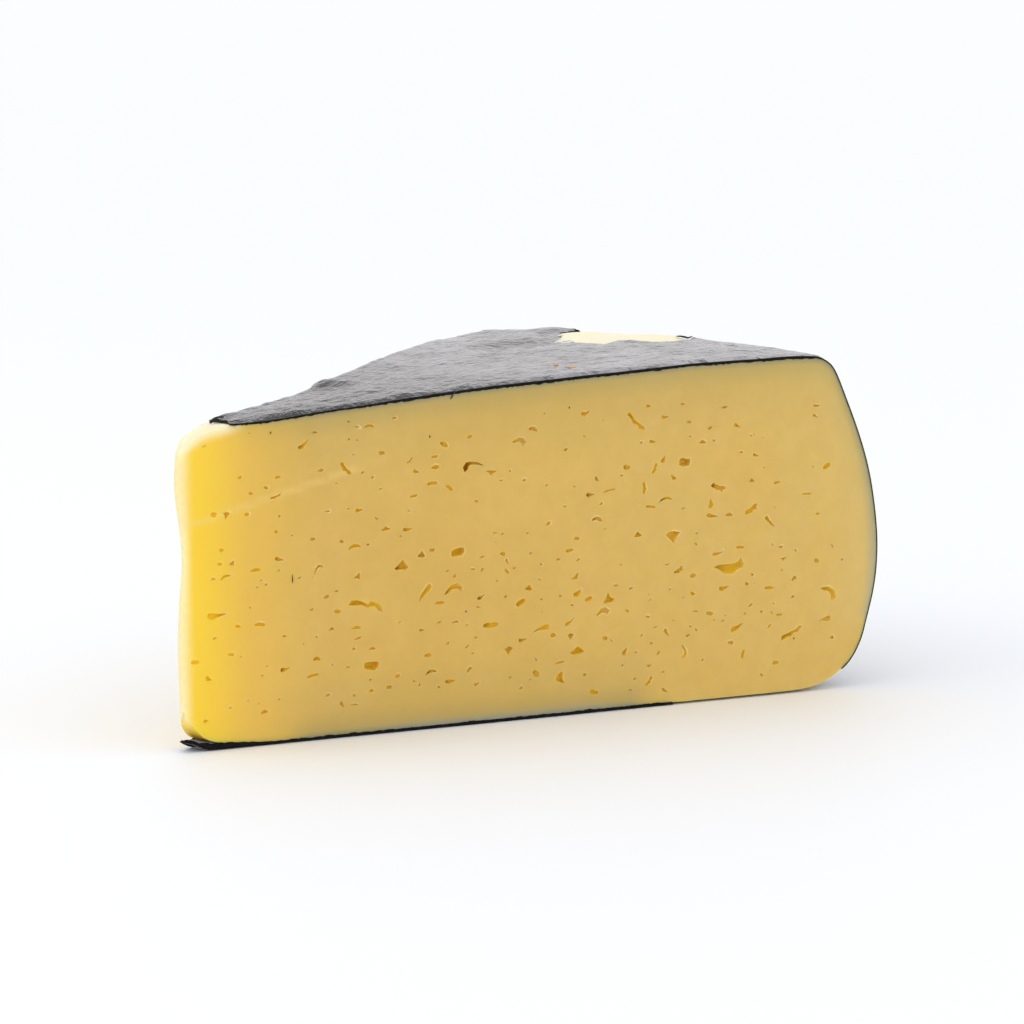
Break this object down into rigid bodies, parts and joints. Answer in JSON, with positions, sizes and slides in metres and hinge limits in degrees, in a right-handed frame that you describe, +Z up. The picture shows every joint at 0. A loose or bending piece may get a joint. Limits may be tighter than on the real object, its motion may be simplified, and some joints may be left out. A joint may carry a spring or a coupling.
{
  "type": "cheese wedge",
  "caption": "Wedge of semi-hard cheese with small eyes in its two cut faces, and black wax over its top, rim and base.",
  "frame": {"origin": "on the resting face, under the middle of the wedge's bounding box", "axes": "+X runs along the wedge's middle line from its tip to its rim, and +Z is up"},
  "size_m": [0.1782, 0.116, 0.081],
  "materials": {
    "paste": "moist, waxy, pale yellow cheese paste with small open eyes",
    "black_wax": "satin black cheese wax, finely wrinkled"
  },
  "bodies": {
    "root": {"cheese_paste": "paste", "wax_coat": "black_wax"}
  },
  "joints": []
}
